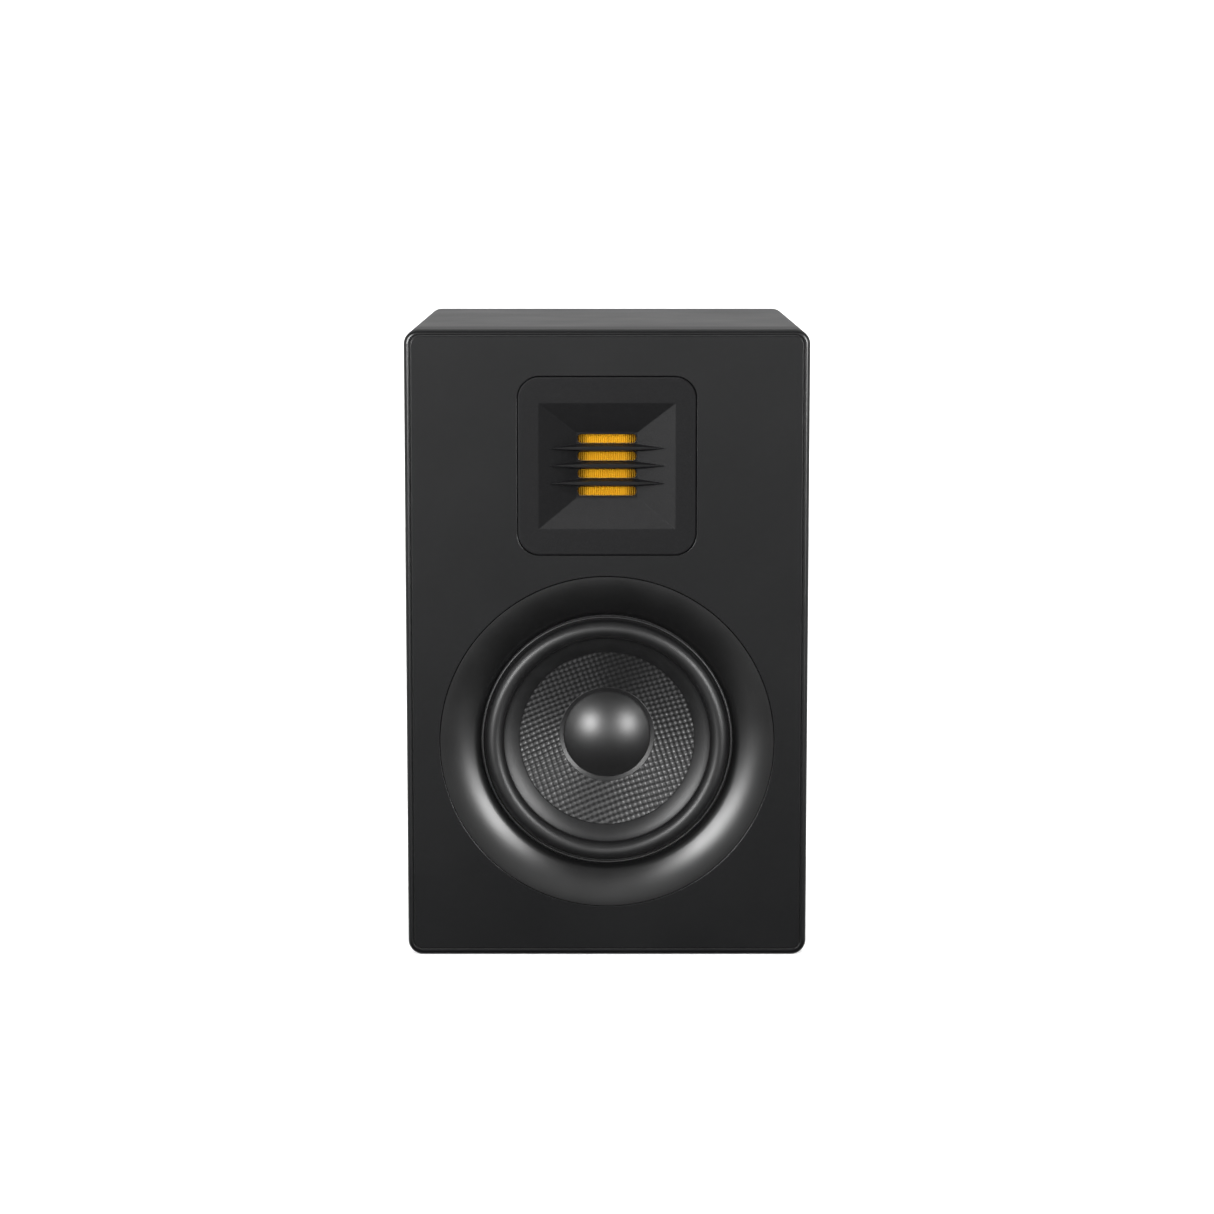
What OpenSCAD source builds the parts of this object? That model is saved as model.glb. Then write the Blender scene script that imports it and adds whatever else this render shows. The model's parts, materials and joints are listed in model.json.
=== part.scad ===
// Compact two-way bookshelf loudspeaker: woven-cone woofer, folded-film tweeter, rear reflex port.
// The front faces -Y, +Z is up, and the origin is the centre of the cabinet's underside.

/* [Cabinet] */
// Width of the cabinet
cab_w = 175; // [172:1:182]
// Depth of the cabinet from the front face to the back face
cab_d = 205; // [200:1:225]
// Height of the cabinet
cab_h = 275; // [272:1:284]
// Radius of the four long edges of the cabinet
edge_r = 6.5; // [5:0.5:8]
// Thickness of the front baffle
baffle_t = 25; // [24:1:27]
// Thickness of the side, top, bottom and back panels
panel_t = 15; // [13:1:16]
// Radius that eases the front edge of the baffle
ease_r = 2; // [1.5:0.1:2]
// Distance from the baffle's edge to the groove around its face
groove_inset = 2.3; // [2.2:0.1:4]
// Width of the groove around the baffle's face
groove_w = 0.7; // [0.5:0.1:1.2]
// Depth of the groove around the baffle's face
groove_depth = 0.8; // [0.5:0.1:1.5]

/* [Woofer] */
// Height of the woofer's axis above the underside
woofer_z = 95; // [92:0.5:96]
// Outer radius of the woofer's trim ring
trim_r = 72.8; // [72.5:0.1:73]
// Inner radius of the woofer's trim ring
trim_in_r = 55.3; // [55.2:0.1:55.8]
// Radius of the arc that the trim ring's face follows
trim_face_r = 30; // [29:1:34]
// Radius from the axis where the trim ring's face turns down to its lip
trim_bend_r = 58.5; // [58:0.1:59]
// Radius to the middle of the rubber surround's roll
roll_mid_r = 49.3; // [49.2:0.1:49.5]
// Radius of the surround's half-round roll
roll_r = 3.9; // [3.6:0.1:4]
// Outer radius of the cone
cone_r = 44.6; // [44.4:0.1:44.8]
// Fall of the cone for each millimetre of radius
cone_slope = 0.6; // [0.55:0.01:0.62]
// Radius of the dust cap
cap_r = 19.1; // [18:0.1:20]
// Angle of the dust cap's face at its rim
cap_edge_deg = 50; // [45:1:60]
// Inner radius of the voice coil former
coil_r = 12.6; // [12.5:0.1:12.7]
// Number of mounting screws and basket arms
woofer_screw_count = 6; // [4, 6, 8]

/* [Tweeter] */
// Height of the tweeter's centre above the underside
tweeter_z = 216; // [213:0.5:217]
// Side of the square faceplate
plate_side = 77.2; // [76.5:0.1:78]
// Corner radius of the faceplate
plate_r = 9.5; // [9:0.5:11]
// Width of the horn's mouth
horn_w = 59; // [56:1:60]
// Height of the horn's mouth
horn_h = 54; // [52:1:55]
// Depth of the horn
horn_depth = 6; // [5:0.5:6.5]
// Width of the slots in front of the film
slot_w = 25.5; // [24:0.5:26]
// Height of each slot
slot_h = 4; // [3.8:0.1:4.4]
// Spacing of the slots
slot_pitch = 7.6; // [7.4:0.1:7.8]
// Number of slots
slot_count = 4; // [4]
// Length of each fin's front edge
fin_l = 50; // [48:0.5:51]
// Spacing of the film's folds
pleat_pitch = 0.9; // [0.8:0.1:1.5]

/* [Rear] */
// Height of the reflex port's axis above the underside
port_z = 205; // [200:1:208]
// Inner radius of the reflex port
port_r = 19; // [18:0.5:20]
// Length of the reflex port
port_l = 100; // [80:1:110]
// Height of the binding posts above the underside
terminal_z = 62; // [60:1:66]
// Spacing of the two binding posts
post_pitch = 19; // [19:0.05:20]

/* [Hidden] */
$fn = 96;

// Cut overshoot, and the gap that keeps neighbouring pieces clear of each other
over = 1;
gap = 0.3;

// Woofer depths, from the baffle's face
trim_t = 8;
trim_lip_face_r = 7.4;
trim_lip_ease = 0.15;
flange_t = 2.5;
gasket_t = 1;
woofer_rebate = trim_t + flange_t + gasket_t;
woofer_hole_r = 62;
flange_r = 71.6;
landing_z = -6.4;
landing_in_r = 53.2;
screw_circle_r = 66;
screw_r = 2;
roll_z = -5.4;
roll_wall = 0.9;
cone_z = -6.9;
cone_wall = 0.9;
skirt_in_r = 38.3;
skirt_wall = 0.5;
spider_z = -33;
spider_out_r = 34;
spider_wall = 0.6;
plate_top_z = -46;
plate_bottom_z = -51;
magnet_bottom_z = -66;
yoke_bottom_z = -72;
motor_r = 36;
magnet_r = 40;
pole_r = coil_r - 0.4;
former_wall = 0.4;
winding_wall = 0.7;
gap_r = coil_r + former_wall + winding_wall + 0.4;

// Tweeter depths, from the baffle's face
plate_t = 5;
plate_ease = 0.6;
fin_taper = 0.9;
plate_gasket_t = 1;
horn_floor_z = -(horn_depth + 1.6);
pole_w = 46;
pole_h = 48;
film_w = 26.4;
film_h = 30;
film_depth = 1.2;
film_wall = 0.14;
tweeter_bolt = 32.5;
boss_r = 3.6;

// Terminal cup, from the back face
cup_w = 92;
cup_h = 72;
cup_flange_t = 2.5;
cup_recess_w = 60;
cup_recess_h = 46;
cup_depth = 22;
cup_wall = 2.5;
stud_r = 3;
socket_r = 2.05;
socket_l = 10;
stud_end_z = -4;
washer_t = 1.2;

// Crossover board, inside on the bottom panel
board_w = 100;
board_d = 76;
board_t = 1.6;
standoff_h = 6;
board_y = 20;
board_z = panel_t + standoff_h;

// Places children on the front face: their +Z points out of the front and their +Y up.
module on_front(z) {
    translate([0, -cab_d / 2, z]) rotate([90, 0, 0]) children();
}

// Places children on the back face: their +Z points out of the back and their +Y up.
module on_back(z) {
    translate([0, cab_d / 2, z]) rotate([90, 0, 180]) children();
}

// Rectangle with round corners, centred.
module rounded_rect(w, h, r) {
    square([w - 2 * r, h], center = true);
    square([w, h - 2 * r], center = true);
    for (x = [-1, 1], y = [-1, 1])
        translate([x * (w / 2 - r), y * (h / 2 - r)]) circle(r = r);
}

// Slab with round corners, its top at z and going down by t.
module slab(w, h, r, z, t) {
    translate([0, 0, z - t]) linear_extrude(t) rounded_rect(w, h, r);
}

// Ring with a bore, its top at z and going down by t.
module ring(r, bore, z, t) {
    translate([0, 0, z - t]) difference() {
        cylinder(r = r, h = t);
        translate([0, 0, -over]) cylinder(r = bore, h = t + 2 * over);
    }
}

// Cylinder with its top at z and going down by t.
module drop(r, z, t) {
    translate([0, 0, z - t]) cylinder(r = r, h = t);
}

// Children repeated at the corners of a rectangle.
module at_corners(x, y) {
    for (sx = [-1, 1], sy = [-1, 1]) translate([sx * x, sy * y, 0]) children();
}

// Children repeated n times round a circle of radius r.
module around(n, r, start = 0) {
    for (i = [0 : n - 1]) rotate([0, 0, start + i * 360 / n]) translate([r, 0, 0]) children();
}

// Points of an arc about c, from angle a to angle b, in n steps.
function arc(c, r, a, b, n) =
    [for (i = [0 : n]) let (t = a + (b - a) * i / n) [c[0] + r * cos(t), c[1] + r * sin(t)]];

// ---- swept wires ----

// Point at share u of a smooth curve through p1 and p2, with neighbours p0 and p3.
function curve_point(p0, p1, p2, p3, u) =
    0.5 * (2 * p1 + (p2 - p0) * u + (2 * p0 - 5 * p1 + 4 * p2 - p3) * u * u
        + (3 * p1 - p0 - 3 * p2 + p3) * u * u * u);

// Smooth path through the points, with steps pieces to each span.
function smooth(p, steps) = concat(
    [for (i = [0 : len(p) - 2], k = [0 : steps - 1])
        curve_point(p[max(i - 1, 0)], p[i], p[i + 1], p[min(i + 2, len(p) - 1)], k / steps)],
    [p[len(p) - 1]]);

function unit(v) = v / norm(v);

// Direction of the path at point i.
function heading(p, i) = unit(p[min(i + 1, len(p) - 1)] - p[max(i - 1, 0)]);

// Sideways direction at each point, carried along so that the tube doesn't twist.
function sideways(p, i) =
    let (t = heading(p, i),
         last = i == 0 ? (abs(t[2]) < 0.9 ? [0, 0, 1] : [1, 0, 0]) : sideways(p, i - 1))
    unit(last - (last * t) * t);

// Tube of radius r along the path, with flat ends.
module tube(p, r, sides = 8) {
    n = len(p);
    points = [for (i = [0 : n - 1])
        let (t = heading(p, i), u = sideways(p, i), v = cross(t, u))
        for (k = [0 : sides - 1]) p[i] + r * (cos(k * 360 / sides) * u + sin(k * 360 / sides) * v)];
    walls = [for (i = [0 : n - 2], k = [0 : sides - 1])
        let (a = i * sides + k, b = i * sides + (k + 1) % sides)
        [a, a + sides, b + sides, b]];
    first = [for (k = [0 : sides - 1]) k];
    last = [for (k = [sides - 1 : -1 : 0]) (n - 1) * sides + k];
    polyhedron(points, concat(walls, [first], [last]));
}

// ---- cabinet ----

// Section of the baffle's outer band: its front corner is a true arc.
module baffle_section() difference() {
    translate([0, -baffle_t]) square([edge_r, baffle_t]);
    translate([edge_r - ease_r, -ease_r]) difference() {
        square(ease_r + over);
        circle(r = ease_r);
    }
}

// Baffle blank with eased front edges, its face at z = 0.
module baffle_blank() {
    x = cab_w / 2 - edge_r;
    y = cab_h / 2 - edge_r;
    translate([0, 0, -baffle_t / 2]) cube([2 * x, 2 * y, baffle_t], center = true);
    for (a = [0, 180]) rotate([0, 0, a]) {
        translate([x, y, 0]) rotate_extrude(angle = 90) baffle_section();
        translate([-x, y, 0]) rotate([0, 0, 90]) rotate_extrude(angle = 90) baffle_section();
        translate([x, y, 0]) rotate([90, 0, 0]) linear_extrude(2 * y) baffle_section();
        translate([-x, y, 0]) rotate([90, 0, 90]) linear_extrude(2 * x) baffle_section();
    }
}

// Shallow groove that frames the baffle's face.
module baffle_groove() {
    out = groove_inset;
    in = groove_inset + groove_w;
    translate([0, 0, -groove_depth]) linear_extrude(groove_depth + over) difference() {
        rounded_rect(cab_w - 2 * out, cab_h - 2 * out, edge_r - out);
        rounded_rect(cab_w - 2 * in, cab_h - 2 * in, edge_r - in);
    }
}

module front_baffle() color([0.13, 0.13, 0.13]) {
    difference() {
        on_front(cab_h / 2) difference() {
            baffle_blank();
            baffle_groove();
        }
        on_front(woofer_z) {
            drop(trim_r + gap, over, woofer_rebate + over);
            drop(woofer_hole_r, 0, baffle_t + over);
            around(woofer_screw_count, screw_circle_r, 30) drop(screw_r + 0.05, 0, 23);
        }
        on_front(tweeter_z) {
            slab(plate_side + 2 * gap, plate_side + 2 * gap, plate_r + gap,
                over, plate_t + plate_gasket_t + over);
            slab(64, 58, 3, 0, baffle_t + over);
            at_corners(tweeter_bolt, tweeter_bolt) {
                drop(boss_r + gap, 0, 15);
                drop(2.3, 0, baffle_t + over);
            }
        }
    }
}

// Outline of one mitred wall, seen from the front: side is 0 right, 1 top, 2 left, 3 bottom.
module wall_outline(side) {
    w = cab_w / 2;
    h = cab_h / 2;
    outer = [[w, -h], [w, h], [-w, h], [-w, -h]];
    iw = w - panel_t;
    ih = h - panel_t;
    inner = [[iw, -ih], [iw, ih], [-iw, ih], [-iw, -ih]];
    a = side;
    b = (side + 1) % 4;
    intersection() {
        rounded_rect(cab_w, cab_h, edge_r);
        polygon([outer[a], outer[b], inner[b], inner[a]]);
    }
}

module wall(side) color([0.16, 0.16, 0.16])
    on_front(cab_h / 2) translate([0, 0, -cab_d]) linear_extrude(cab_d - baffle_t)
        wall_outline(side);

module right_panel() wall(0);
module top_panel() wall(1);
module left_panel() wall(2);
module bottom_panel() wall(3);

inside_w = cab_w - 2 * panel_t;
inside_h = cab_h - 2 * panel_t;

module back_panel() color([0.15, 0.15, 0.15]) difference() {
    on_back(cab_h / 2) translate([0, 0, -panel_t])
        linear_extrude(panel_t) square([inside_w, inside_h], center = true);
    on_back(port_z) {
        drop(36.2, over, 3 + over);
        drop(25, 0, panel_t + over);
    }
    on_back(terminal_z) {
        slab(cup_w + 2 * gap, cup_h + 2 * gap, 8 + gap, over, cup_flange_t + gasket_t + over);
        slab(cup_recess_w + 2 * cup_wall + 1, cup_recess_h + 2 * cup_wall + 1, 10, 0, panel_t + over);
        at_corners(cup_w / 2 - 6, cup_h / 2 - 6) drop(1.55, 0, 14);
    }
}

brace_z = 160;
brace_t = 12;

module window_brace() color([0.62, 0.49, 0.33])
    translate([0, 0, brace_z]) linear_extrude(brace_t) difference() {
        translate([0, (baffle_t - panel_t) / 2])
            square([inside_w, cab_d - baffle_t - panel_t], center = true);
        translate([0, 5]) rounded_rect(inside_w - 44, cab_d - 90, 14);
    }

foam_t = 12;

module acoustic_foam() color([0.25, 0.25, 0.27]) {
    for (s = [-1, 1])
        translate([s * (inside_w / 2 - foam_t / 2 - gap), 0, 90])
            cube([foam_t, 120, 110], center = true);
    translate([0, 5, cab_h - panel_t - foam_t / 2 - gap]) cube([120, 130, foam_t], center = true);
}

// ---- tweeter ----

// Frustum from a w1 by h1 rectangle at z1 to a w2 by h2 rectangle at z2, with z1 above z2.
module frustum(w1, h1, z1, w2, h2, z2) {
    corner = [[-1, -1], [1, -1], [1, 1], [-1, 1]];
    points = concat(
        [for (c = corner) [c[0] * w2 / 2, c[1] * h2 / 2, z2]],
        [for (c = corner) [c[0] * w1 / 2, c[1] * h1 / 2, z1]]);
    polyhedron(points, [[0, 1, 2, 3], [7, 6, 5, 4], [4, 5, 1, 0], [5, 6, 2, 1], [6, 7, 3, 2], [7, 4, 0, 3]]);
}

// Heights of the slots, and of the fins between them, from the tweeter's centre.
slot_y = [for (i = [0 : slot_count - 1]) (i - (slot_count - 1) / 2) * slot_pitch];
fin_y = [for (i = [0 : slot_count - 2]) (slot_y[i] + slot_y[i + 1]) / 2];

// The row of slots, going down from z by t.
module slots(z, t) {
    for (y = slot_y) translate([0, y, z - t]) linear_extrude(t) rounded_rect(slot_w, slot_h, 1.6);
}

// Lens-shaped fin that stands in the horn, pointed at both ends and slimmer towards the front.
module fin() {
    half_h = (slot_pitch - slot_h) / 2;
    r = (fin_l * fin_l / 4 / (half_h - fin_taper) + half_h + fin_taper) / 2;
    fin_h = horn_depth - 0.9;
    translate([0, 0, -horn_depth - 0.5]) intersection() {
        translate([0, half_h - r, 0]) cylinder(r1 = r, r2 = r - fin_taper, h = fin_h, $fn = 300);
        translate([0, r - half_h, 0]) cylinder(r1 = r, r2 = r - fin_taper, h = fin_h, $fn = 300);
        translate([1 - horn_w / 2, -half_h, 0]) cube([horn_w - 2, 2 * half_h, fin_h]);
    }
}

// Rounded square slab from z = 0 down by t, with its front edge eased.
module eased_slab(w, r, t, ease) {
    side = arc([w / 2 - ease, -ease], ease, 0, 90, 4);
    corner = arc([r - ease, -ease], ease, 0, 90, 4);
    at_corners(w / 2 - r, w / 2 - r) rotate_extrude() polygon(concat([[0, -t], [r, -t]], corner, [[0, 0]]));
    for (turn = [0, 90]) rotate([90, 0, turn]) linear_extrude(w - 2 * r, center = true)
        polygon(concat([[-w / 2, -t], [w / 2, -t]], side, [for (i = [4 : -1 : 0]) [-side[i][0], side[i][1]]]));
}

module tweeter_faceplate() color([0.14, 0.14, 0.14]) on_front(tweeter_z) {
    difference() {
        union() {
            eased_slab(plate_side, plate_r, plate_t, plate_ease);
            slab(60, 54.5, 2, -plate_t + 0.5, -horn_floor_z - plate_t + 0.5);
            at_corners(tweeter_bolt, tweeter_bolt) drop(boss_r, -plate_t + 0.5, 9.5);
        }
        frustum(horn_w + 2, horn_h + 2, 0.35, slot_w + 1, 28.5, -horn_depth);
        slots(0, 20);
        at_corners(tweeter_bolt, tweeter_bolt) drop(3, -6.5, 10);
    }
    for (y = fin_y) translate([0, y, 0]) fin();
}

module tweeter_gasket() color([0.1, 0.1, 0.1]) on_front(tweeter_z)
    difference() {
        slab(plate_side - 1, plate_side - 1, plate_r - 0.5, -plate_t, plate_gasket_t - 0.05);
        slab(64, 58, 3, 0, 20);
        at_corners(tweeter_bolt, tweeter_bolt) drop(boss_r + gap, 0, 20);
    }

module tweeter_inserts() color([0.8, 0.62, 0.3]) on_front(tweeter_z)
    at_corners(tweeter_bolt, tweeter_bolt) ring(2.95, 2.05, -6.6, 7.3);

module tweeter_screws() color([0.2, 0.2, 0.2]) on_front(tweeter_z)
    at_corners(tweeter_bolt, tweeter_bolt) {
        drop(2, -7, baffle_t - 7);
        difference() {
            drop(3.8, -baffle_t - 0.05, 3);
            translate([0, 0, -baffle_t - 4]) cylinder(r = 1.8, h = 2.4, $fn = 6);
        }
    }

front_pole_z = horn_floor_z - 0.1;
front_pole_t = 2;
film_z = front_pole_z - front_pole_t - 0.2;
frame_t = 2.4;
rear_magnet_z = film_z - frame_t - 0.1;
rear_magnet_t = 9;
rear_pole_z = rear_magnet_z - rear_magnet_t - 0.05;
rear_pole_t = 3;
rear_cup_z = rear_pole_z - rear_pole_t - 0.05;
rear_cup_depth = 13;

module tweeter_front_pole() color([0.3, 0.3, 0.32]) on_front(tweeter_z)
    difference() {
        slab(pole_w, pole_h, 2, front_pole_z, front_pole_t);
        slots(0, 20);
    }

// Zigzag film: the folds run up and down, and the sheet is film_wall thick.
module tweeter_diaphragm() color([0.9, 0.62, 0.12]) on_front(tweeter_z) {
    folds = floor(film_w / pleat_pitch);
    start = -folds * pleat_pitch / 2;
    top = [for (i = [0 : 2 * folds]) [start + i * pleat_pitch / 2,
        film_z - 0.1 - (i % 2 == 0 ? 0 : film_depth - 0.2)]];
    thick = film_wall * 2.2;
    low = [for (i = [2 * folds : -1 : 0]) [top[i][0], top[i][1] - thick]];
    translate([0, -film_h / 2, 0]) rotate([-90, 0, 0]) linear_extrude(film_h)
        polygon([for (p = concat(top, low)) [p[0], -p[1]]]);
}

module tweeter_diaphragm_frame() color([0.1, 0.32, 0.16]) on_front(tweeter_z)
    difference() {
        slab(pole_w, pole_h + 4, 2, film_z + 0.1, frame_t);
        slab(film_w + 1, film_h + 0.6, 0.5, 0, 30);
    }

module tweeter_magnets() color([0.55, 0.55, 0.58]) on_front(tweeter_z)
    for (s = [-1, 1]) translate([s * 18, 0, rear_magnet_z - rear_magnet_t / 2])
        cube([8, pole_h - 2, rear_magnet_t], center = true);

module tweeter_rear_pole() color([0.3, 0.3, 0.32]) on_front(tweeter_z)
    difference() {
        slab(pole_w, pole_h, 2, rear_pole_z, rear_pole_t);
        slots(0, 40);
    }

module tweeter_rear_cup() color([0.12, 0.12, 0.12]) on_front(tweeter_z)
    difference() {
        slab(pole_w + 2, pole_h + 2, 4, rear_cup_z, rear_cup_depth);
        slab(pole_w - 2, pole_h - 2, 2, rear_cup_z + over, rear_cup_depth - 2 + over);
    }

module tweeter_felt() color([0.45, 0.45, 0.43]) on_front(tweeter_z)
    slab(pole_w - 3, pole_h - 3, 2, rear_cup_z - 5, 5.8);

// Solder tabs: sideways and downwards from the tweeter's centre, and how far back they reach.
tab_x = 14;
tab_y = pole_h / 2 + 1.6;
tab_z = film_z + 0.1 - frame_t - 0.02;
tab_l = 7.6;

module tweeter_tabs() color([0.8, 0.66, 0.4]) on_front(tweeter_z)
    for (s = [-1, 1]) translate([s * tab_x, -tab_y, tab_z - tab_l / 2])
        cube([4, 0.8, tab_l], center = true);

// ---- woofer ----

// Ring whose face curves inward and down, with a channel behind it that clears the screw heads.
module woofer_trim_ring() color([0.13, 0.13, 0.13]) on_front(woofer_z) {
    bend_deg = asin((trim_r - trim_bend_r) / trim_face_r);
    face = arc([trim_r, -trim_face_r], trim_face_r, 90, 90 + bend_deg, 14);
    lip_centre = [trim_bend_r + trim_lip_face_r * sin(bend_deg),
        (trim_face_r - trim_lip_face_r) * cos(bend_deg) - trim_face_r];
    lip_deg = asin((lip_centre[0] - trim_in_r - trim_lip_ease) / trim_lip_face_r);
    lip = arc(lip_centre, trim_lip_face_r, 91 + bend_deg, 90 + lip_deg, 10);
    lip_z = lip_centre[1] + trim_lip_face_r * cos(lip_deg);
    rotate_extrude() polygon(concat(face, lip, [
        [trim_in_r, lip_z - 2 * trim_lip_ease], [trim_in_r, -trim_t], [61.5, -trim_t], [61.5, -5], [70.5, -5],
        [70.5, -trim_t], [trim_r, -trim_t]
    ]));
    around(4, 58.4, 45) drop(1.4, -trim_t + 0.5, 2.9);
}

module woofer_gasket() color([0.1, 0.1, 0.1]) on_front(woofer_z)
    difference() {
        ring(flange_r, woofer_hole_r + 0.5, -trim_t - flange_t, gasket_t);
        around(woofer_screw_count, screw_circle_r, 30) drop(screw_r + gap, 0, 20);
    }

spider_shelf_z = spider_z - spider_wall;

module woofer_basket() color([0.16, 0.16, 0.17]) on_front(woofer_z) {
    difference() {
        rotate_extrude() polygon([
            [flange_r, -trim_t], [trim_in_r - 0.3, -trim_t], [trim_in_r - 0.3, landing_z],
            [landing_in_r, landing_z], [landing_in_r, -11.5], [36, spider_z - 0.05],
            [33.4, spider_shelf_z - 0.05], [31.4, spider_shelf_z - 0.05], [31.4, -43.4], [17, -43.4],
            [17, -46], [34, -46], [34, -37.6], [38.4, -36.4], [56, -10.5], [flange_r, -10.5]
        ]);
        around(woofer_screw_count, screw_circle_r, 30) drop(screw_r + 0.2, 0, 20);
        around(4, 58.4, 45) drop(1.6, 0, 20);
        for (i = [0 : woofer_screw_count - 1]) rotate([0, 0, i * 360 / woofer_screw_count])
            basket_window();
    }
}

// Opening between two arms: a wedge that leaves the flange, the spider shelf and the arms.
module basket_window() {
    arm_half_deg = 8;
    reach = 62;
    spread = 180 / woofer_screw_count - arm_half_deg;
    translate([0, 0, -31.5]) linear_extrude(18)
        polygon([[20, 0], [reach * cos(spread), -reach * sin(spread)], [reach, 0],
            [reach * cos(spread), reach * sin(spread)]]);
}

module woofer_screws() color([0.12, 0.12, 0.12]) on_front(woofer_z)
    around(woofer_screw_count, screw_circle_r, 30) {
        drop(screw_r, -trim_t, 15);
        difference() {
            drop(3.6, -trim_t + 2.2, 2.2);
            translate([0, 0, -trim_t + 1]) cylinder(r = 1.5, h = 3, $fn = 6);
        }
    }

// Cone height at radius r, measured on its front face.
function cone_at(r) = cone_z - (cone_r - r) * cone_slope;

// Rubber edge: outer bead, half-round roll and the skirt glued to the cone.
module woofer_surround() color([0.09, 0.09, 0.09]) on_front(woofer_z) {
    outer = trim_in_r - 0.4;
    bead_r = 0.6;
    roll_out = arc([roll_mid_r, roll_z], roll_r, 0, 180, 24);
    roll_in = arc([roll_mid_r, roll_z], roll_r - roll_wall, 180, 0, 24);
    bead = arc([outer - bead_r, landing_z + 0.4], bead_r, 0, 180, 8);
    valley_r = roll_mid_r - roll_r;
    rotate_extrude() polygon(concat(
        [[outer, landing_z + 0.02]],
        bead,
        [[roll_mid_r + roll_r, landing_z + 0.9]],
        roll_out,
        [[valley_r - 0.2, cone_at(valley_r) + 0.7], [cone_r - 0.6, cone_at(cone_r - 0.6) + skirt_wall],
         [skirt_in_r, cone_at(skirt_in_r) + skirt_wall], [skirt_in_r, cone_at(skirt_in_r) + 0.03],
         [cone_r, cone_at(cone_r) + 0.03]],
        roll_in,
        [[roll_mid_r + roll_r - roll_wall, landing_z + 0.02]]
    ));
}

module woofer_cone() color([0.2, 0.2, 0.2]) on_front(woofer_z) {
    neck_r = coil_r + former_wall + 0.02;
    rotate_extrude() polygon([
        [cone_r, cone_at(cone_r)], [neck_r, cone_at(neck_r)], [neck_r, cone_at(neck_r) - 2.4],
        [neck_r + 1, cone_at(neck_r) - 1.4], [cone_r, cone_at(cone_r) - cone_wall]
    ]);
}

// Domed cap on a narrow flange that follows the cone.
module woofer_dust_cap() color([0.16, 0.16, 0.16]) on_front(woofer_z) {
    dome_r = cap_r / sin(cap_edge_deg);
    rim_z = cone_at(cap_r) + 0.55;
    centre = [0, rim_z - dome_r * cos(cap_edge_deg)];
    wall = 0.5;
    flange = 1.5;
    rotate_extrude() polygon(concat(
        arc(centre, dome_r, 90, 90 - cap_edge_deg, 16),
        [[cap_r + flange, cone_at(cap_r + flange) + 0.5], [cap_r + flange, cone_at(cap_r + flange) + 0.03],
         [cap_r - 0.8, cone_at(cap_r - 0.8) + 0.03]],
        arc(centre, dome_r - wall, 90 - cap_edge_deg + 2, 90, 16)
    ));
}

module voice_coil_former() color([0.75, 0.55, 0.3]) on_front(woofer_z)
    ring(coil_r + former_wall, coil_r, cone_at(coil_r) + 0.6, 30);

module voice_coil_winding() color([0.72, 0.4, 0.2]) on_front(woofer_z)
    ring(coil_r + former_wall + winding_wall, coil_r + former_wall + 0.02, -43, 11);

// Corrugated disc that centres the voice coil.
module woofer_spider() color([0.72, 0.6, 0.25]) on_front(woofer_z) {
    in_r = coil_r + former_wall + 0.06;
    waves = 4;
    steps = 48;
    top = [for (i = [0 : steps]) let (u = i / steps)
        [in_r + (spider_out_r - 3.2 - in_r) * u, spider_z + 1.1 * sin(u * waves * 360)]];
    low = [for (i = [steps : -1 : 0]) [top[i][0], top[i][1] - spider_wall]];
    rotate_extrude() polygon(concat(
        top, [[spider_out_r - 1, spider_z], [spider_out_r - 1, spider_z - spider_wall]], low));
}

module woofer_top_plate() color([0.4, 0.4, 0.42]) on_front(woofer_z)
    ring(motor_r, gap_r, plate_top_z - 0.02, plate_top_z - plate_bottom_z - 0.02);

module woofer_magnet() color([0.22, 0.22, 0.23]) on_front(woofer_z)
    ring(magnet_r, 20, plate_bottom_z, plate_bottom_z - magnet_bottom_z);

// Back plate and vented pole, turned from one piece of steel.
module woofer_yoke() color([0.4, 0.4, 0.42]) on_front(woofer_z)
    difference() {
        union() {
            drop(motor_r, magnet_bottom_z, magnet_bottom_z - yoke_bottom_z);
            drop(pole_r, plate_top_z + 0.5, plate_top_z + 0.5 - magnet_bottom_z + 1);
        }
        drop(3, 0, 90);
    }

module woofer_shorting_ring() color([0.72, 0.42, 0.24]) on_front(woofer_z)
    ring(pole_r + 4, pole_r + 0.02, magnet_bottom_z + 5, 4.98);

module woofer_magnet_boot() color([0.08, 0.08, 0.08]) on_front(woofer_z)
    difference() {
        drop(magnet_r + 2, plate_bottom_z + 2, plate_bottom_z + 2 - yoke_bottom_z + 1.8);
        drop(magnet_r + 0.1, plate_top_z, plate_top_z - yoke_bottom_z + 0.05);
        drop(8, 0, 90);
    }

arm_deg = 34.2;
strip_r = 44.85;
strip_z = -28.5;
tag_x = 9.5;

// Fibre strip with two solder tags, fixed along the outside of the top basket arm.
module woofer_terminal_strip() color([0.55, 0.38, 0.2]) on_front(woofer_z)
    rotate([0, 0, 90]) translate([strip_r, 0, strip_z]) rotate([0, arm_deg, 0]) {
        cube([1.6, 26, 9], center = true);
        for (s = [-1, 1]) translate([2.3, s * tag_x, 0]) cube([3, 4, 0.8], center = true);
    }

// Two flexible braids, from the terminal strip past the arm to the back of the cone.
module woofer_tinsel_leads() color([0.75, 0.5, 0.3]) on_front(woofer_z)
    for (s = [-1, 1])
        tube(smooth([[s * 11.5, 44.05, -27.95], [s * 11.8, 41.5, -26.2], [s * 11.5, 36, -23.2],
            [s * 9, 30.5, -20.8], [s * 6, 26.5, -19.2]], 4), 0.6);

// ---- reflex port ----

flare_r = 15;

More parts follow.
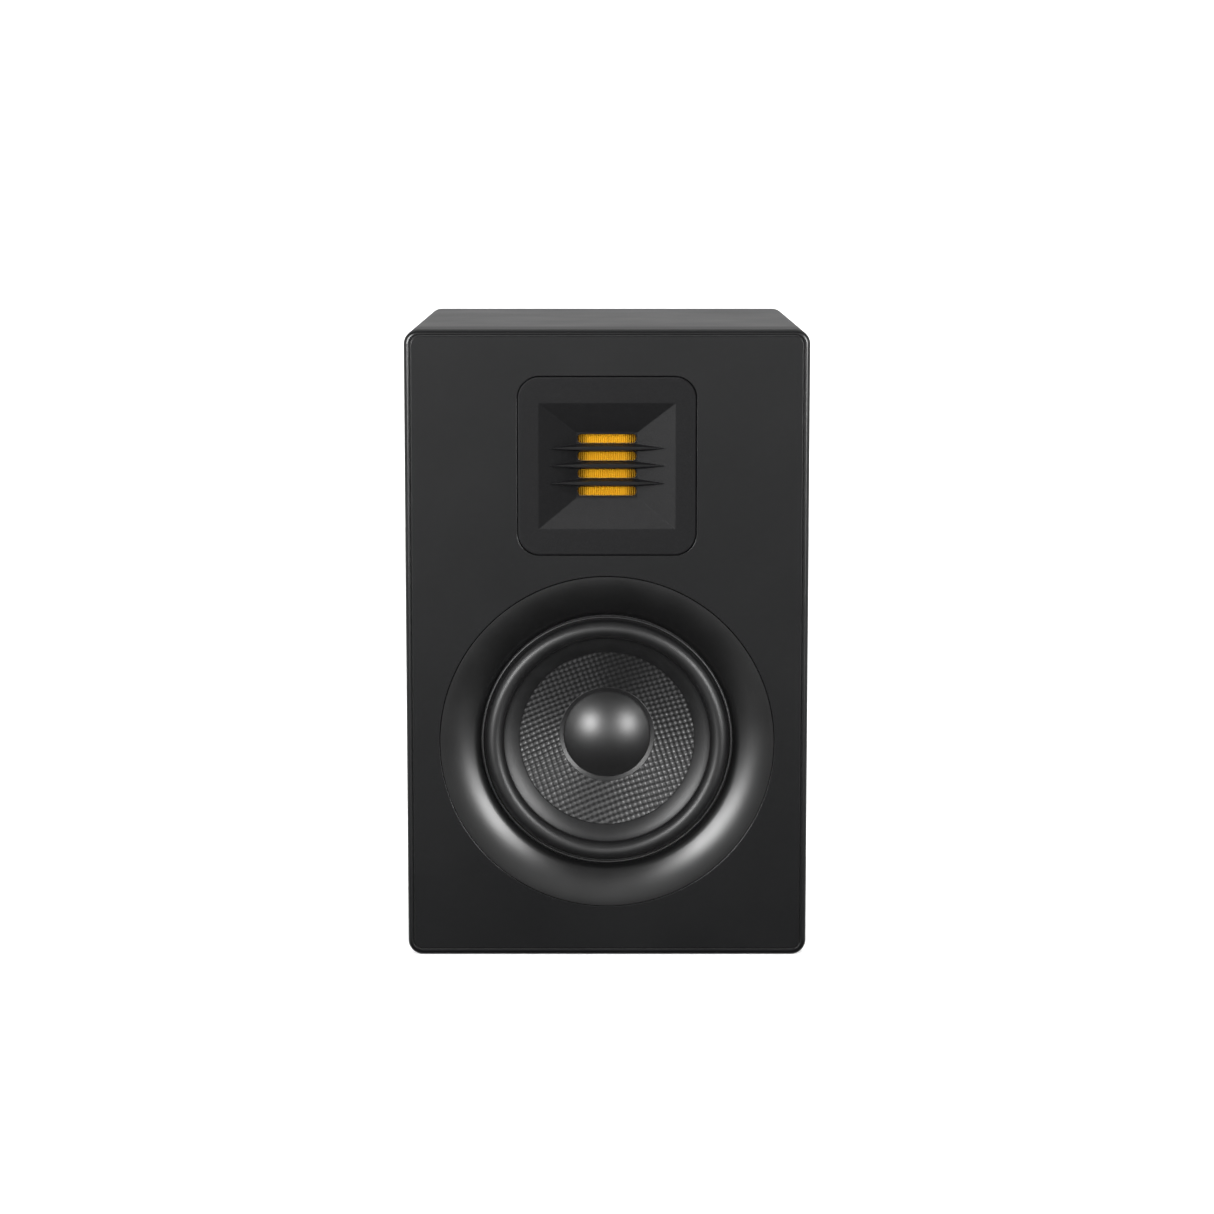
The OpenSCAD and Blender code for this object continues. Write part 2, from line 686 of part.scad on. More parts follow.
module port_flare() color([0.11, 0.11, 0.11]) on_back(port_z) {
    face = arc([port_r + flare_r, -flare_r], flare_r, 90, 180, 18);
    rotate_extrude() polygon(concat(
        [[36, 0]],
        face,
        [[port_r, -30], [port_r + 2, -30], [port_r + 2, -flare_r - 2], [port_r + 5.6, -6],
         [port_r + 5.6, -3], [36, -3]]
    ));
}

module port_tube() color([0.12, 0.12, 0.12]) on_back(port_z) {
    bell = arc([port_r + 2.1 + 8, -port_l + 8], 8, 180, 270, 10);
    rotate_extrude() polygon(concat(
        [[port_r + 4.1, -19], [port_r + 2.1, -19]],
        bell,
        [[port_r + 10.1, -port_l + 2]],
        arc([port_r + 10.1, -port_l + 8], 6, 270, 180, 10)
    ));
}

// ---- terminal cup and binding posts ----

post_x = [-post_pitch / 2, post_pitch / 2];

// Countersunk head, flush with z = 0, with room all round.
module screw_cone(room) translate([0, 0, -1.8]) cylinder(r1 = 1.5 + room, r2 = 3.3 + room, h = 1.8);

module terminal_cup() color([0.1, 0.1, 0.1]) on_back(terminal_z) difference() {
    union() {
        slab(cup_w, cup_h, 8, 0, cup_flange_t);
        slab(cup_recess_w + 2 * cup_wall, cup_recess_h + 2 * cup_wall, 9.5, 0, cup_depth + cup_wall);
    }
    slab(cup_recess_w, cup_recess_h, 8, over, cup_depth + over);
    at_corners(cup_w / 2 - 6, cup_h / 2 - 6) {
        drop(1.9, over, 10);
        screw_cone(0.1);
    }
    for (x = post_x) translate([x, 0, 0]) drop(stud_r + 0.05, 0, 40);
}

module terminal_cup_gasket() color([0.08, 0.08, 0.08]) on_back(terminal_z) difference() {
    slab(cup_w - 1, cup_h - 1, 7.5, -cup_flange_t, gasket_t);
    slab(cup_recess_w + 2 * cup_wall + 1, cup_recess_h + 2 * cup_wall + 1, 10, 0, 20);
    at_corners(cup_w / 2 - 6, cup_h / 2 - 6) drop(1.9, 0, 20);
}

// Recessed cross that a driver fits, cut into a screw head whose top is at z.
module cross_slot(z, width, depth) {
    for (a = [0, 90]) rotate([0, 0, a]) translate([0, 0, z - depth / 2 + 0.25])
        cube([width, width / 4, depth + 0.5], center = true);
}

module terminal_cup_screws() color([0.12, 0.12, 0.12]) on_back(terminal_z)
    at_corners(cup_w / 2 - 6, cup_h / 2 - 6) {
        drop(1.5, -1.6, 10.4);
        difference() {
            screw_cone(0);
            cross_slot(0, 3, 1);
        }
    }

module post_collars() color([0.09, 0.09, 0.09]) on_back(terminal_z)
    for (x = post_x) translate([x, 0, 0]) ring(7, stud_r + 0.05, -cup_depth + 3, 2.98);

// Stud with its own seat, a plug socket in the end and a cross hole for bare wire.
module post_stud() color([0.85, 0.68, 0.35]) difference() {
    union() {
        drop(stud_r, stud_end_z, 30);
        drop(5.5, -cup_depth + 4.5, 1.48);
    }
    drop(socket_r, over, over - stud_end_z + socket_l);
    translate([0, 0, -cup_depth + 6]) rotate([90, 0, 0])
        cylinder(r = 1.2, h = 12, center = true);
}

washer_z = -cup_depth + 4.5 + gap + washer_t;

module clamp_washer() color([0.85, 0.68, 0.35]) ring(5.6, stud_r + 0.08, washer_z, washer_t);

// Ribbed cap with a through bore: it turns on the stud's thread and lets a plug in at its end.
module post_cap(tint) color(tint) difference() {
    union() {
        drop(6.8, -2.5, -2.5 - washer_z - gap);
        drop(5.8, -1.5, 2);
    }
    drop(stud_r + 0.08, stud_end_z + 1.2, 30);
    drop(2.7, over, 10);
    around(14, 7.3) drop(0.95, -3.6, -3.6 - washer_z - 2.4);
}

// The red post is on the right as seen from behind.
module at_red() on_back(terminal_z) translate([post_pitch / 2, 0, 0]) children();
module at_black() on_back(terminal_z) translate([-post_pitch / 2, 0, 0]) children();

module red_post_stud() at_red() post_stud();
module black_post_stud() at_black() post_stud();
module red_clamp_washer() at_red() clamp_washer();
module black_clamp_washer() at_black() clamp_washer();
module red_post_cap() at_red() post_cap([0.7, 0.05, 0.05]);
module black_post_cap() at_black() post_cap([0.06, 0.06, 0.06]);

module post_nuts() color([0.7, 0.7, 0.72]) on_back(terminal_z)
    for (x = post_x) translate([x, 0, -cup_depth - cup_wall - 0.02]) difference() {
        union() {
            translate([0, 0, -3.5]) cylinder(r = 5.8, h = 2.5, $fn = 6);
            drop(6, 0, 1);
            translate([0, 8, -0.5]) cube([5, 10, 1], center = true);
        }
        drop(stud_r + 0.05, over, 10);
    }

// ---- crossover ----

module on_board(x, y) translate([x, board_y + y, board_z + board_t + 0.02]) children();

module crossover_board() color([0.1, 0.25, 0.14])
    translate([0, board_y, board_z]) linear_extrude(board_t) difference() {
        rounded_rect(board_w, board_d, 3);
        for (x = [-1, 1], y = [-1, 1])
            translate([x * (board_w / 2 - 5), y * (board_d / 2 - 5)]) circle(r = 1.7);
    }

// Air-cored coil with its axis along Z.
module air_coil(r, bore, h) difference() {
    cylinder(r = r, h = h);
    translate([0, 0, -over]) cylinder(r = bore, h = h + 2 * over);
}

module crossover_inductors() color([0.72, 0.38, 0.18]) {
    on_board(-27, 8) air_coil(17, 8, 15);
    on_board(-25, -25) translate([0, 6, 12]) rotate([90, 0, 0]) air_coil(11.8, 5, 12);
}

module crossover_capacitors() color([0.75, 0.65, 0.15]) {
    on_board(17, 25) translate([-16, 0, 8]) rotate([0, 90, 0]) cylinder(r = 7.8, h = 34);
    on_board(17, 6) translate([-14, 0, 7]) rotate([0, 90, 0]) cylinder(r = 6.8, h = 30);
    on_board(17, -10) translate([-13, 0, 6]) rotate([0, 90, 0]) cylinder(r = 5.8, h = 28);
}

module crossover_resistors() color([0.9, 0.9, 0.87])
    for (y = [-22, -33]) on_board(6, y) translate([0, -4, 0]) cube([26, 8.5, 8.5]);

module crossover_standoffs() color([0.8, 0.8, 0.8])
    for (x = [-1, 1], y = [-1, 1])
        translate([x * (board_w / 2 - 5), board_y + y * (board_d / 2 - 5), panel_t]) {
            translate([0, 0, 0.02]) cylinder(r = 3, h = standoff_h - 0.04);
            cylinder(r = 1.5, h = standoff_h + board_t + 0.5);
            translate([0, 0, standoff_h + board_t + 0.04]) cylinder(r = 2.9, h = 1.8);
        }

// ---- hook-up wires ----

wire_r = 1.1;
wire_end_z = board_z + board_t + 1.8;
lug_y = cab_d / 2 - cup_depth - cup_wall - 1.02 - wire_r - 0.2;
tag_y = -cab_d / 2 - strip_z + 2.3;
tag_z = woofer_z + strip_r + 3.3;
tab_end_y = -cab_d / 2 - tab_z + tab_l / 2;
tab_end_z = tweeter_z - tab_y - 0.9 - wire_r;

module input_wires() color([0.1, 0.1, 0.1])
    for (x = post_x)
        tube(smooth([[x, lug_y, terminal_z + 11], [x, lug_y - 0.5, terminal_z + 15],
            [x, 69, 80], [x, 63, 75], [x * 1.4, 61, 60], [x * 2.2, 60, 42],
            [x * 3.6, 57, 30], [x * 4.2, 51, wire_end_z]], 4), wire_r);

module woofer_wires() color([0.12, 0.12, 0.12])
    for (s = [-1, 1])
        tube(smooth([[s * tag_x, tag_y, tag_z], [s * tag_x, tag_y + 3, tag_z + 4.4],
            [s * 12, -60, 151], [s * 16, -44, 149], [s * 30, -20, 138], [s * 48, 8, 116], [s * 52, 14, 80],
            [s * 52, 10, 50], [s * 47, 4, 30], [s * 45, 2, wire_end_z]], 4), wire_r);

module tweeter_wires() color([0.5, 0.1, 0.1])
    for (s = [-1, 1])
        tube(smooth([[s * tab_x, tab_end_y, tab_end_z], [s * tab_x, tab_end_y + 8, tab_end_z],
            [s * 16, -58, 183], [s * 20, -30, 170], [s * 30, 0, 150], [s * 38, 30, 120],
            [s * 40, 44, 80], [s * 43, 44, 50], [s * 45.5, 38, 30], [s * 46, 34, wire_end_z]], 4),
            wire_r);

front_baffle();
left_panel();
right_panel();
top_panel();
bottom_panel();
back_panel();
window_brace();
acoustic_foam();
tweeter_faceplate();
tweeter_gasket();
tweeter_inserts();
tweeter_screws();
tweeter_front_pole();
tweeter_diaphragm();
tweeter_diaphragm_frame();
tweeter_magnets();
tweeter_rear_pole();
tweeter_rear_cup();
tweeter_felt();
tweeter_tabs();
woofer_trim_ring();
woofer_gasket();
woofer_basket();
woofer_screws();
woofer_surround();
woofer_cone();
woofer_dust_cap();
voice_coil_former();
voice_coil_winding();
woofer_spider();
woofer_top_plate();
woofer_magnet();
woofer_yoke();
woofer_shorting_ring();
woofer_magnet_boot();
woofer_terminal_strip();
woofer_tinsel_leads();
port_flare();
port_tube();
terminal_cup();
terminal_cup_gasket();
terminal_cup_screws();
post_collars();
red_post_stud();
black_post_stud();
red_clamp_washer();
black_clamp_washer();
red_post_cap();
black_post_cap();
post_nuts();
crossover_board();
crossover_inductors();
crossover_capacitors();
crossover_resistors();
crossover_standoffs();
input_wires();
woofer_wires();
tweeter_wires();
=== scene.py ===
"""Looks of the compact two-way bookshelf speaker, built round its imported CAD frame."""

import json
import math

import bpy
import numpy as np
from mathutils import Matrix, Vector

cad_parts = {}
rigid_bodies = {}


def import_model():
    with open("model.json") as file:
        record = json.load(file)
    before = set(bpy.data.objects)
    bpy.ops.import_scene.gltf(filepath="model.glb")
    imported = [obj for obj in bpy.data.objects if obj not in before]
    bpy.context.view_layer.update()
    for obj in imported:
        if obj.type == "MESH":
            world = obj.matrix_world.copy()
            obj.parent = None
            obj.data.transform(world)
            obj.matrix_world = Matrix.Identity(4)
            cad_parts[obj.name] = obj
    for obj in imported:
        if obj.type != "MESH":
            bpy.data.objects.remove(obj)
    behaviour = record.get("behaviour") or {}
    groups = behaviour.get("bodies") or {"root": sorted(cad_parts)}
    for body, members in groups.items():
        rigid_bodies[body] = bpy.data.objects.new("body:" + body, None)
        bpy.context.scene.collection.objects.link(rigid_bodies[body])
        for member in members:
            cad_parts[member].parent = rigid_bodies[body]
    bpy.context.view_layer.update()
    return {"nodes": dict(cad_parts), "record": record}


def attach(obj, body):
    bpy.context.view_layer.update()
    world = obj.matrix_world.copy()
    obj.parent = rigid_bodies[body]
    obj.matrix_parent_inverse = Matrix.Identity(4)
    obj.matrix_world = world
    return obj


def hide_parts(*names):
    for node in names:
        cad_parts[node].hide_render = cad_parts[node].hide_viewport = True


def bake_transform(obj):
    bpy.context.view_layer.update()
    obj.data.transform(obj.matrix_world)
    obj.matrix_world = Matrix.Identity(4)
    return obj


for default in list(bpy.data.objects):
    bpy.data.objects.remove(default)

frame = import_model()
nodes = frame["nodes"]

MM = 0.001
FRONT_Y = -0.1025
WOOFER_Z = 0.095

# ---- camera ----

CAMERA_DISTANCE = 1.402
CAMERA_HEIGHT = 0.345
CAMERA_TILT_DEG = 7.73

camera_data = bpy.data.cameras.new("camera")
camera = bpy.data.objects.new("camera", camera_data)
bpy.context.scene.collection.objects.link(camera)
bpy.context.scene.camera = camera
camera_data.lens = 96.6
camera_data.sensor_width = 36
camera_data.clip_start = 0.05
camera_data.clip_end = 40
camera.location = (0, FRONT_Y - CAMERA_DISTANCE, CAMERA_HEIGHT)
camera.rotation_euler = (math.radians(90 - CAMERA_TILT_DEG), 0, 0)
bpy.context.scene.view_settings.view_transform = "Standard"


# ---- material graphs ----


class Graph:
    """One node material: every call adds a node and returns its output socket."""

    def __init__(self, name):
        self.material = bpy.data.materials.new(name)
        self.material.use_nodes = True
        self.tree = self.material.node_tree
        self.tree.nodes.clear()
        self.coords = self.add("ShaderNodeTexCoord").outputs["Object"]

    def add(self, kind, **settings):
        """New node with these settings."""
        node = self.tree.nodes.new(kind)
        for key, value in settings.items():
            setattr(node, key, value)
        return node

    def feed(self, socket, value):
        """Links an output to the socket, or sets the socket to a number or colour."""
        if isinstance(value, bpy.types.NodeSocket):
            self.tree.links.new(value, socket)
        elif value is not None:
            socket.default_value = value

    def math(self, operation, a, b=None, c=None):
        node = self.add("ShaderNodeMath", operation=operation)
        for socket, value in zip(node.inputs, (a, b, c)):
            self.feed(socket, value)
        return node.outputs[0]

    def along(self, axis):
        """Position along one axis of the object, in metres."""
        node = self.add("ShaderNodeSeparateXYZ")
        self.feed(node.inputs[0], self.coords)
        return node.outputs[axis]

    def scaled(self, stretch):
        """Object position, multiplied along each axis."""
        node = self.add("ShaderNodeMapping")
        self.feed(node.inputs["Vector"], self.coords)
        node.inputs["Scale"].default_value = stretch
        return node.outputs[0]

    def noise(self, scale, detail=3.0, roughness=0.55, vector=None):
        node = self.add("ShaderNodeTexNoise")
        self.feed(node.inputs["Vector"], vector or self.coords)
        self.feed(node.inputs["Scale"], float(scale))
        self.feed(node.inputs["Detail"], float(detail))
        self.feed(node.inputs["Roughness"], roughness)
        return node.outputs[0]

    def cells(self, scale, feature="F1", vector=None):
        node = self.add("ShaderNodeTexVoronoi", feature=feature)
        self.feed(node.inputs["Vector"], vector or self.coords)
        self.feed(node.inputs["Scale"], float(scale))
        return node.outputs["Distance"]

    def span(self, value, low_in, high_in, low, high):
        """Maps the range from low_in to high_in onto low to high, and clamps it."""
        node = self.add("ShaderNodeMapRange")
        for key, item in zip(("Value", "From Min", "From Max", "To Min", "To Max"),
                             (value, low_in, high_in, low, high)):
            self.feed(node.inputs[key], item)
        return node.outputs[0]

    def blend(self, share, dark, light):
        """Colour between two others. Each is an output or three numbers."""
        node = self.add("ShaderNodeMix", data_type="RGBA")
        self.feed(node.inputs["Factor"], share)
        self.feed(node.inputs["A"], dark if isinstance(dark, bpy.types.NodeSocket) else (*dark, 1))
        self.feed(node.inputs["B"], light if isinstance(light, bpy.types.NodeSocket) else (*light, 1))
        return node.outputs["Result"]

    def bump(self, height, depth, normal=None):
        """Normal of a surface with this height pattern, as deep as depth in metres."""
        node = self.add("ShaderNodeBump")
        self.feed(node.inputs["Height"], height)
        node.inputs["Distance"].default_value = depth
        self.feed(node.inputs["Normal"], normal)
        return node.outputs[0]

    def rounded(self, radius):
        """Normal that makes sharp edges look eased by the radius, in metres."""
        node = self.add("ShaderNodeBevel", samples=6)
        node.inputs["Radius"].default_value = radius
        return node.outputs[0]

    def finish(self, color, roughness, metallic=0.0, normal=None, specular=0.5, **extra):
        """Adds the shader, with extra sockets by name, and returns the material."""
        shader = self.add("ShaderNodeBsdfPrincipled")
        self.feed(shader.inputs["Base Color"], color)
        self.feed(shader.inputs["Roughness"], roughness)
        shader.inputs["Metallic"].default_value = metallic
        shader.inputs["Specular IOR Level"].default_value = specular
        self.feed(shader.inputs["Normal"], normal)
        for key, value in extra.items():
            shader.inputs[key.replace("_", " ")].default_value = value
        output = self.add("ShaderNodeOutputMaterial")
        self.tree.links.new(shader.outputs[0], output.inputs[0])
        return self.material


def grained(name, dark, light, roughness, grain, depth, metallic=0.0, specular=0.5,
            stretch=None, **extra):
    """Fine grain in height and colour, with wide soft patches of wear in the sheen."""
    g = Graph(name)
    vector = g.scaled(stretch) if stretch else None
    fine = g.noise(grain, 4, 0.6, vector)
    wide = g.noise(60, 2, 0.5)
    color = g.blend(g.span(fine, 0.3, 0.7, 0, 1), dark, light)
    rough = g.span(wide, 0.3, 0.7, max(roughness - 0.02, 0.03), min(roughness + 0.02, 1))
    return g.finish(color, rough, metallic, g.bump(fine, depth), specular, **extra)


def vinyl_wrap():
    """Matt wrap with a fine pebble grain."""
    g = Graph("cabinet_wrap")
    pebbles = g.cells(1500, "SMOOTH_F1")
    hair = g.noise(5200, 3)
    height = g.math("ADD", g.math("MULTIPLY", pebbles, 0.8), g.math("MULTIPLY", hair, 0.35))
    wide = g.noise(25, 3)
    color = g.blend(g.span(pebbles, 0.1, 0.8, 0, 1), (0.027, 0.027, 0.0275), (0.019, 0.019, 0.0194))
    return g.finish(color, g.span(wide, 0.3, 0.7, 0.52, 0.58), 0, g.bump(height, 0.00005), 0.14)


def satin_paint():
    """Sprayed satin paint with a faint orange-peel ripple and dust nibs, duller round the edges."""
    g = Graph("baffle_paint")
    peel = g.noise(420, 2, 0.4)
    nibs = g.noise(3200, 2, 0.5)
    height = g.math("ADD", peel, g.math("MULTIPLY", nibs, 0.25))
    wide = g.noise(18, 3)
    color = g.blend(g.span(wide, 0.3, 0.7, 0, 1), (0.0020, 0.0021, 0.0023), (0.0025, 0.0026, 0.0028))
    rim = g.span(g.along("Y"), FRONT_Y + 0.2 * MM, FRONT_Y + 1.6 * MM, 0, 0.5)
    rough = g.math("ADD", rim, g.span(wide, 0.3, 0.7, 0.22, 0.25))
    return g.finish(color, rough, 0, g.bump(height, 0.004 * MM, g.rounded(0.5 * MM)), 0.42)


def spark_moulding(name, base, roughness, specular=0.5, edge=0.0):
    """Moulding with a spark-eroded texture. Its edges look eased by the edge radius, in metres."""
    g = Graph(name)
    pits = g.noise(2600, 4, 0.7)
    cells = g.cells(2400)
    height = g.math("ADD", pits, g.math("MULTIPLY", cells, 0.5))
    lighter = tuple(1.5 * c for c in base)
    color = g.blend(g.span(pits, 0.35, 0.65, 0, 1), base, lighter)
    rounded = g.rounded(edge) if edge else None
    rough = g.span(cells, 0, 0.8, roughness, roughness + 0.1)
    return g.finish(color, rough, 0, g.bump(height, 0.00006, rounded), specular)


def woven_fibre():
    """Lacquered weave: rows of round crowns that catch the light, with dark pits between them. The crowns'
    colour is painted lighter as a painted highlight, and the pits' colour darker as painted shade.

    In two opposite patches the crowns' painted highlight is taken down, as painted shade where the strands
    lie across the light.
    """
    g = Graph("woven_fibre")
    pitch = 2.3 * MM
    turn = math.radians(19)
    x = g.along("X")
    z = g.math("SUBTRACT", g.along("Z"), WOOFER_Z)
    wobble = g.math("MULTIPLY_ADD", g.noise(260, 1), 0.24, -0.12)
    across = g.math("ADD", g.math("MULTIPLY", x, math.cos(turn) / pitch),
                    g.math("MULTIPLY", z, math.sin(turn) / pitch))
    along = g.math("SUBTRACT", g.math("MULTIPLY", z, math.cos(turn) / pitch),
                   g.math("MULTIPLY", x, math.sin(turn) / pitch))

    def wave(run):
        """Rise and fall of the strands that run one way."""
        return g.math("COSINE", g.math("MULTIPLY", g.math("ADD", run, wobble), 2 * math.pi))

    height = g.math("MULTIPLY_ADD", g.math("ADD", wave(across), wave(along)), 0.25, 0.5)
    crown = g.span(height, 0.42, 0.88, 0, 1)
    hair = g.noise(4200, 2)
    height = g.math("MULTIPLY_ADD", hair, 0.04, height)
    # Painted shade: two opposite patches round the axis where the crowns' colour is dimmed.
    angle = g.math("SUBTRACT", g.math("ARCTAN2", z, x), math.radians(76))
    painted_patch_shade = g.span(g.math("COSINE", g.math("MULTIPLY", angle, 2)), 0.55, 1, 0, 0.75)
    crown_gloss_and_painted_light = g.math("SUBTRACT", crown, g.math("MULTIPLY", crown, painted_patch_shade))
    # Painted highlight and shade: the crowns are coloured lighter and the pits darker.
    color = g.blend(crown_gloss_and_painted_light, (0.002, 0.002, 0.0022), (0.026, 0.026, 0.0265))
    return g.finish(color, g.span(crown_gloss_and_painted_light, 0, 1, 0.56, 0.3), 0, g.bump(height, 0.0004), 0.5)


def rubber(name, base, roughness):
    """Fine matt skin with a little dust on it."""
    g = Graph(name)
    fine = g.noise(2200, 4, 0.65)
    dust = g.noise(140, 5, 0.7)
    color = g.blend(g.span(dust, 0.45, 0.75, 0, 1), base, tuple(c * 1.4 + 0.001 for c in base))
    rough = g.span(fine, 0.3, 0.7, roughness - 0.04, roughness + 0.06)
    return g.finish(color, rough, 0, g.bump(fine, 0.02 * MM), 0.45)


def gold_film():
    """Amber film with aluminium tracks across its folds, with painted shade at both ends of the slots, where
    the slots' walls shade it.
    """
    g = Graph("gold_film")
    track_pitch = 1.6 * MM
    stripes = g.math("SINE", g.math("MULTIPLY", g.along("Z"), 2 * math.pi / track_pitch))
    foil = g.span(stripes, -0.2, 0.2, 0, 1)
    crinkle = g.noise(500, 1)
    color = g.blend(g.math("MULTIPLY", foil, 0.3), (0.6, 0.34, 0.01), (0.64, 0.39, 0.018))
    # Painted shade: the film's colour darkens towards both ends of each slot.
    painted_end_shade = g.span(g.math("ABSOLUTE", g.along("X")), 7.5 * MM, 12.8 * MM, 0, 0.72)
    color = g.blend(painted_end_shade, color, (0.1, 0.035, 0.0015))
    rough = g.span(crinkle, 0.3, 0.7, 0.55, 0.62)
    return g.finish(color, rough, 0.1, g.bump(crinkle, 0.002 * MM), 0.4)


def brushed(name, dark, light, roughness, stretch):
    """Bare metal with fine lines, drawn out by the stretch, and faint smudges."""
    g = Graph(name)
    lines = g.noise(900, 4, 0.6, g.scaled(stretch))
    smudge = g.noise(50, 3)
    color = g.blend(g.span(lines, 0.3, 0.7, 0, 1), dark, light)
    rough = g.math("ADD", g.span(lines, 0.3, 0.7, roughness, roughness + 0.12),
                   g.span(smudge, 0.3, 0.7, -0.03, 0.05))
    return g.finish(color, rough, 1.0, g.bump(lines, 0.00001), 0.5)


def fibreboard():
    """Cut board with flat fibres and darker specks."""
    g = Graph("bare_board")
    chips = g.noise(700, 5, 0.7, g.scaled((1, 0.35, 1)))
    specks = g.cells(1800)
    color = g.blend(g.span(chips, 0.3, 0.7, 0, 1), (0.2, 0.12, 0.06), (0.36, 0.25, 0.14))
    color = g.blend(g.span(specks, 0, 0.35, 0.5, 0), color, (0.12, 0.07, 0.035))
    return g.finish(color, 0.85, 0, g.bump(chips, 0.0001), 0.3)


def foam(name, dark, light, pores, depth):
    """Foam or felt with open pores, so many to the metre."""
    g = Graph(name)
    holes = g.cells(pores)
    fluff = g.noise(pores * 2.5, 4, 0.7)
    height = g.math("ADD", holes, g.math("MULTIPLY", fluff, 0.4))
    color = g.blend(g.span(height, 0.2, 0.9, 0, 1), dark, light)
    return g.finish(color, 0.95, 0, g.bump(height, depth), 0.2, Sheen_Weight=0.2)


def cloth(name, dark, light, pitch):
    """Plain cloth with threads along X and Z, a pitch apart."""
    g = Graph(name)
    warp = g.math("SINE", g.math("MULTIPLY", g.along("X"), 2 * math.pi / pitch))
    weft = g.math("SINE", g.math("MULTIPLY", g.along("Z"), 2 * math.pi / pitch))
    threads = g.math("MULTIPLY", warp, weft)
    fuzz = g.noise(3000, 3)
    height = g.math("ADD", threads, fuzz)
    color = g.blend(g.span(threads, -0.8, 0.8, 0, 1), dark, light)
    return g.finish(color, 0.8, 0, g.bump(height, 0.00008), 0.3, Sheen_Weight=0.15)


def laminate():
    """Green glass-fibre board with lighter areas over its copper."""
    g = Graph("circuit_laminate")
    weave = g.cells(700, "F1", g.scaled((1, 1, 0.2)))
    copper = g.noise(90, 1)
    color = g.blend(g.span(weave, 0, 0.8, 0, 1), (0.012, 0.07, 0.03), (0.02, 0.11, 0.05))
    color = g.blend(g.span(copper, 0.52, 0.54, 0, 0.5), color, (0.03, 0.16, 0.07))
    return g.finish(color, 0.35, 0, g.bump(weave, 0.00002), 0.5)


def winding(name, dark, light, pitch, axis):
    """Enamelled wire laid side by side along one axis."""
    g = Graph(name)
    turns = g.math("SINE", g.math("MULTIPLY", g.along(axis), 2 * math.pi / pitch))
    stain = g.noise(200, 3)
    color = g.blend(g.span(turns, -1, 1, 0, 1), dark, light)
    return g.finish(color, g.span(stain, 0.3, 0.7, 0.22, 0.36), 0.9, g.bump(turns, 0.00012), 0.5)


look = {
    "baffle_paint": satin_paint(),
    "cabinet_wrap": vinyl_wrap(),
    "bare_board": fibreboard(),
    "damping_foam": foam("damping_foam", (0.01, 0.01, 0.011), (0.05, 0.05, 0.055), 420, 0.0008),
    "faceplate_plastic": spark_moulding("faceplate_plastic", (0.0047, 0.0047, 0.005), 0.38, 0.1,
                                        edge=0.6 * MM),
    "gasket_foam": foam("gasket_foam", (0.006, 0.006, 0.006), (0.02, 0.02, 0.02), 1500, 0.0001),
    "brass_insert": brushed("brass_insert", (0.45, 0.29, 0.1), (0.68, 0.48, 0.2), 0.3, (1, 6, 1)),
    "black_screw": grained("black_screw", (0.01, 0.01, 0.01), (0.022, 0.022, 0.022), 0.35, 2500, 0.00002,
                           metallic=0.6),
    "plated_steel": brushed("plated_steel", (0.34, 0.35, 0.36), (0.52, 0.52, 0.54), 0.32, (1, 5, 1)),
    "gold_film": gold_film(),
    "circuit_laminate": laminate(),
    "nickel_magnet": brushed("nickel_magnet", (0.5, 0.49, 0.46), (0.62, 0.61, 0.58), 0.18, (1, 1, 1)),
    "black_moulding": spark_moulding("black_moulding", (0.011, 0.011, 0.0115), 0.4),
    "grey_felt": foam("grey_felt", (0.07, 0.07, 0.065), (0.19, 0.19, 0.18), 2600, 0.0004),
    "trim_satin": grained("trim_satin", (0.0022, 0.0022, 0.0023), (0.0028, 0.0028, 0.0029), 0.31, 1900,
                          0.000002),
    "basket_paint": grained("basket_paint", (0.011, 0.011, 0.012), (0.02, 0.02, 0.021), 0.5, 1300, 0.00006),
    "surround_rubber": rubber("surround_rubber", (0.003, 0.003, 0.0032), 0.42),
    "woven_fibre": woven_fibre(),
    "cap_satin": grained("cap_satin", (0.003, 0.003, 0.0032), (0.004, 0.004, 0.0042), 0.41, 1500,
                         0.000002, specular=0.85),
    "former_film": grained("former_film", (0.42, 0.2, 0.05), (0.55, 0.29, 0.08), 0.35, 600, 0.00002),
    "copper": winding("copper", (0.34, 0.1, 0.035), (0.72, 0.32, 0.13), 0.9 * MM, "Z"),
    "spider_cloth": cloth("spider_cloth", (0.3, 0.19, 0.05), (0.6, 0.42, 0.14), 0.7 * MM),
    "ferrite": grained("ferrite", (0.025, 0.025, 0.027), (0.05, 0.05, 0.053), 0.55, 900, 0.00009, 0.2),
    "boot_rubber": rubber("boot_rubber", (0.012, 0.012, 0.012), 0.5),
    "fibre_strip": grained("fibre_strip", (0.11, 0.05, 0.02), (0.2, 0.1, 0.045), 0.6, 1100, 0.00005,
                           stretch=(0.3, 1, 1)),
    "gold_plate": brushed("gold_plate", (0.72, 0.46, 0.16), (0.88, 0.62, 0.26), 0.16, (1, 5, 1)),
    "red_cap": grained("red_cap", (0.3, 0.006, 0.006), (0.36, 0.01, 0.01), 0.2, 700, 0.00001,
                       Coat_Weight=0.5),
    "black_cap": grained("black_cap", (0.006, 0.006, 0.006), (0.01, 0.01, 0.01), 0.2, 700, 0.00001,
                         Coat_Weight=0.5),
    "nickel_nut": brushed("nickel_nut", (0.48, 0.47, 0.44), (0.66, 0.65, 0.62), 0.22, (1, 4, 1)),
    "capacitor_wrap": grained("capacitor_wrap", (0.38, 0.27, 0.02), (0.46, 0.34, 0.035), 0.28, 260, 0.00004),
    "ceramic": grained("ceramic", (0.5, 0.5, 0.46), (0.66, 0.66, 0.62), 0.75, 1600, 0.00012),
    "wire_black": rubber("wire_black", (0.01, 0.01, 0.01), 0.4),
    "wire_red": rubber("wire_red", (0.2, 0.008, 0.008), 0.4),
}

